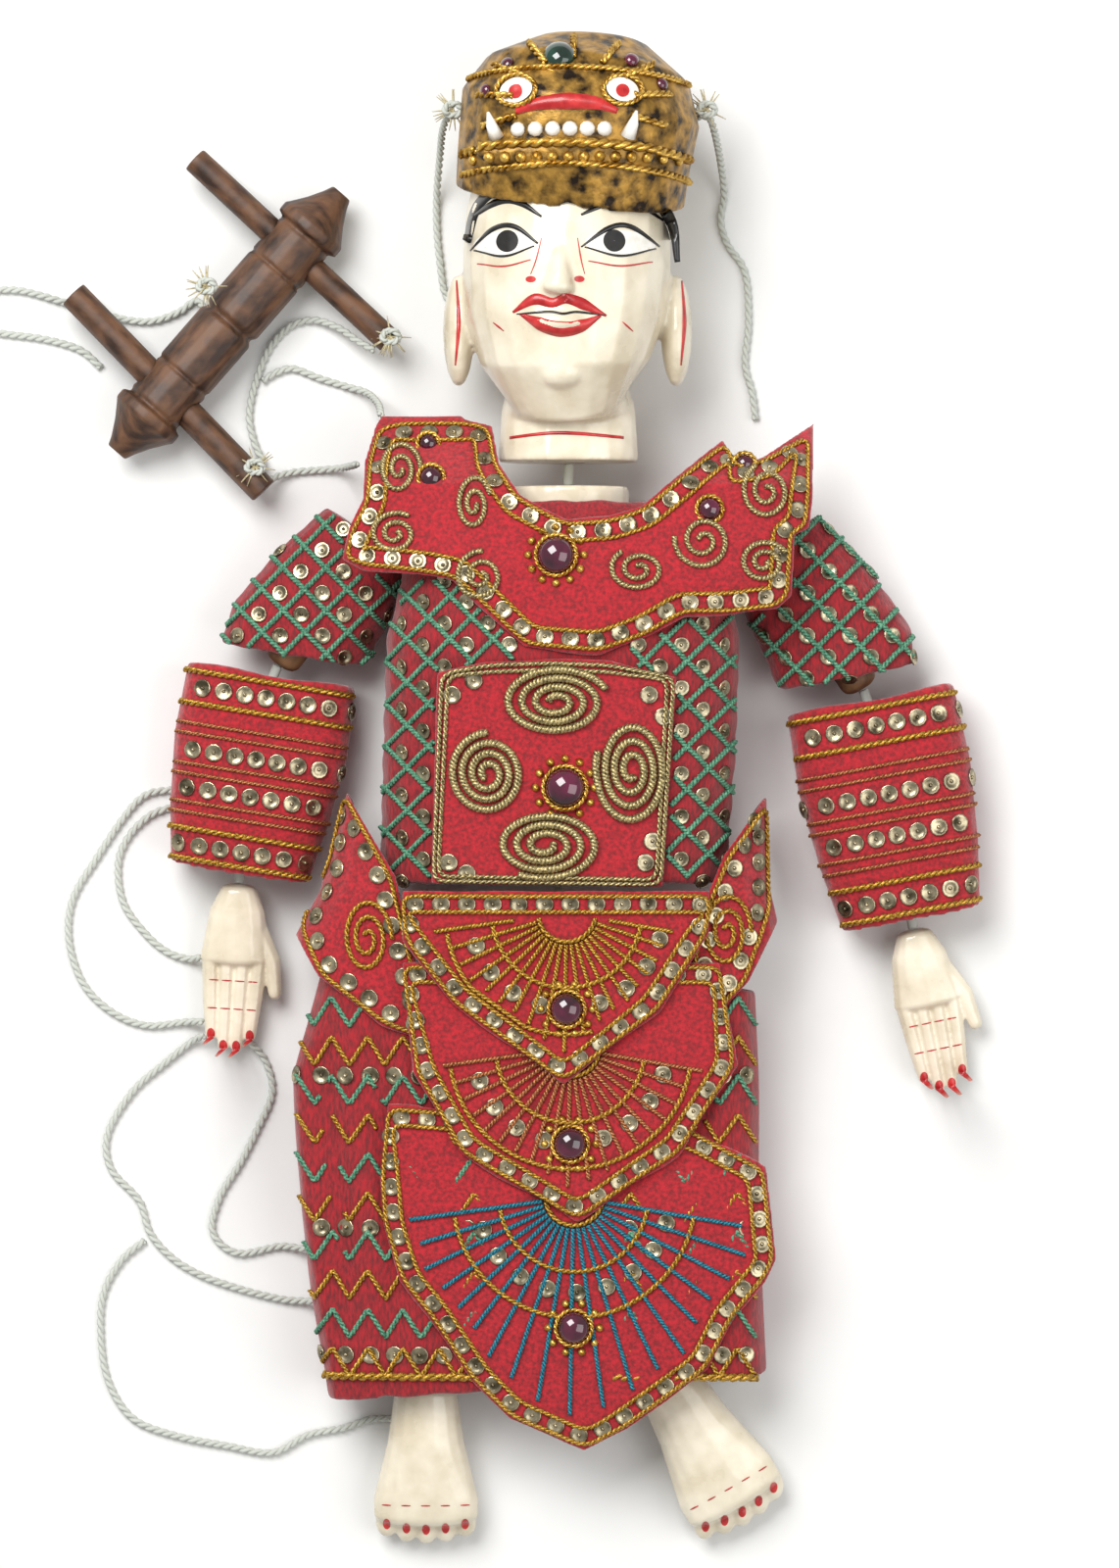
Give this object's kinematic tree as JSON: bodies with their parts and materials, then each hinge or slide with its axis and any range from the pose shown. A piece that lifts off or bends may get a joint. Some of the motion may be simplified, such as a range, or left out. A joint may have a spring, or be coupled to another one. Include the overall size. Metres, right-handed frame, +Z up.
{
  "type": "string puppet",
  "caption": "Carved and painted string puppet lying on its back, with limp jointed limbs, embroidered costume, cords and a turned wooden control beside its head.",
  "frame": {"origin": "on the table, at the flat back of the jacket under the medallion", "axes": "+X to the picture's right, +Y from the feet to the head, +Z up from the table"},
  "size_m": [0.292, 0.4277, 0.0682],
  "materials": {
    "ivory": "glossy ivory paint over wood",
    "gilt": "gilded lacquer relief",
    "felt": "red felt with gold braid and sequins",
    "lattice": "green and gold cord lattice on red cloth",
    "gold": "gold bullion embroidery",
    "stone": "dark purple cabochon",
    "green_stone": "dark green cabochon",
    "wood": "plain wood",
    "dark_wood": "dark brown turned wood",
    "string": "grey-green twisted cord"
  },
  "bodies": {
    "torso": {"chest_block": "ivory", "jacket": "lattice", "collar": "felt", "medallion": "gold", "medallion_stone": "stone", "collar_stone": "stone", "tie_neck": "string", "tie_waist": "string", "tie_shoulder_left": "string", "tie_shoulder_right": "string", "cord_hanging_loop": "string", "cord_control_bridge": "string", "cord_shoulder_middle": "string", "cord_shoulder_lower": "string", "cord_head_left": "string", "cord_head_right": "string", "cord_hand_outer": "string", "cord_hand_inner": "string", "cord_hand_knee": "string", "cord_skirt_loop": "string", "cord_ankle": "string"},
    "head": {"head": "ivory", "crown": "gilt", "crown_stone": "green_stone"},
    "pelvis": {"pelvis_block": "ivory", "apron_upper": "lattice", "apron_middle": "lattice", "apron_lower": "lattice", "flap_left": "felt", "flap_right": "felt", "apron_stone_upper": "stone", "apron_stone_middle": "stone", "apron_stone_lower": "stone", "tie_hip_left": "string", "tie_hip_right": "string"},
    "control": {"control_barrel": "dark_wood", "dowel_upper": "dark_wood", "dowel_lower": "dark_wood"},
    "upper_arm_left": {"upper_arm_left": "wood", "sleeve_left": "lattice", "tie_elbow_left": "string"},
    "forearm_left": {"forearm_left": "wood", "cuff_left": "felt", "tie_wrist_left": "string"},
    "hand_left": {"hand_left": "ivory"},
    "thigh_left": {"thigh_left": "wood", "trouser_left": "felt", "tie_knee_left": "string"},
    "lower_leg_left": {"lower_leg_left": "ivory"},
    "upper_arm_right": {"upper_arm_right": "wood", "sleeve_right": "lattice", "tie_elbow_right": "string"},
    "forearm_right": {"forearm_right": "wood", "cuff_right": "felt", "tie_wrist_right": "string"},
    "hand_right": {"hand_right": "ivory"},
    "thigh_right": {"thigh_right": "wood", "trouser_right": "felt", "tie_knee_right": "string"},
    "lower_leg_right": {"lower_leg_right": "ivory"}
  },
  "joints": [
    {"name": "neck_nod", "type": "hinge", "parent": "torso", "child": "head", "pos_m": [0.0025, 0.087, 0.024], "axis": [1, 0, 0], "range_deg": [-18, 18], "deforming": ["tie_neck", "cord_head_left", "cord_head_right"]},
    {"name": "waist_bend", "type": "hinge", "parent": "torso", "child": "pelvis", "pos_m": [0, -0.032, 0.022], "axis": [-1, 0, 0], "range_deg": [-10, 30], "deforming": ["tie_waist", "apron_upper", "flap_left", "flap_right"]},
    {"name": "control_lift", "type": "slide", "parent": "torso", "child": "control", "axis": [0, 0, 1], "range_m": [0, 0.12], "deforming": ["cord_hanging_loop", "cord_control_bridge", "cord_shoulder_middle", "cord_shoulder_lower"]},
    {"name": "shoulder_left", "type": "hinge", "parent": "torso", "child": "upper_arm_left", "pos_m": [-0.057, 0.066, 0.014], "axis": [-1, 0, 0], "range_deg": [-15, 95], "deforming": ["tie_shoulder_left", "sleeve_left", "collar"]},
    {"name": "elbow_left", "type": "hinge", "parent": "upper_arm_left", "child": "forearm_left", "pos_m": [-0.082, 0.031, 0.012], "axis": [-1, 0, 0], "range_deg": [-5, 70], "deforming": ["tie_elbow_left", "cuff_left"]},
    {"name": "wrist_left", "type": "hinge", "parent": "forearm_left", "child": "hand_left", "pos_m": [-0.091, -0.025, 0.009], "axis": [-1, 0, 0], "range_deg": [-40, 50], "deforming": ["tie_wrist_left", "cord_hand_outer", "cord_hand_inner", "cord_hand_knee", "cord_skirt_loop"]},
    {"name": "hip_left", "type": "hinge", "parent": "pelvis", "child": "thigh_left", "pos_m": [-0.024, -0.064, 0.017], "axis": [-1, 0, 0], "range_deg": [-15, 65], "deforming": ["tie_hip_left", "apron_middle", "apron_lower"]},
    {"name": "knee_left", "type": "hinge", "parent": "thigh_left", "child": "lower_leg_left", "pos_m": [-0.031, -0.12, 0.014], "axis": [1, 0, 0], "range_deg": [-5, 65], "deforming": ["tie_knee_left", "trouser_left", "cord_ankle"]},
    {"name": "shoulder_right", "type": "hinge", "parent": "torso", "child": "upper_arm_right", "pos_m": [0.064, 0.064, 0.014], "axis": [-1, 0, 0], "range_deg": [-15, 95], "deforming": ["tie_shoulder_right", "sleeve_right"]},
    {"name": "elbow_right", "type": "hinge", "parent": "upper_arm_right", "child": "forearm_right", "pos_m": [0.088, 0.024, 0.012], "axis": [-1, 0, 0], "range_deg": [-5, 70], "deforming": ["tie_elbow_right", "cuff_right"]},
    {"name": "wrist_right", "type": "hinge", "parent": "forearm_right", "child": "hand_right", "pos_m": [0.1, -0.038, 0.009], "axis": [-1, 0, 0], "range_deg": [-40, 50], "deforming": ["tie_wrist_right"]},
    {"name": "hip_right", "type": "hinge", "parent": "pelvis", "child": "thigh_right", "pos_m": [0.02, -0.064, 0.017], "axis": [-1, 0, 0], "range_deg": [-15, 65], "deforming": ["tie_hip_right"]},
    {"name": "knee_right", "type": "hinge", "parent": "thigh_right", "child": "lower_leg_right", "pos_m": [0.026, -0.119, 0.014], "axis": [1, 0, 0], "range_deg": [-5, 65], "deforming": ["tie_knee_right", "trouser_right"]}
  ]
}
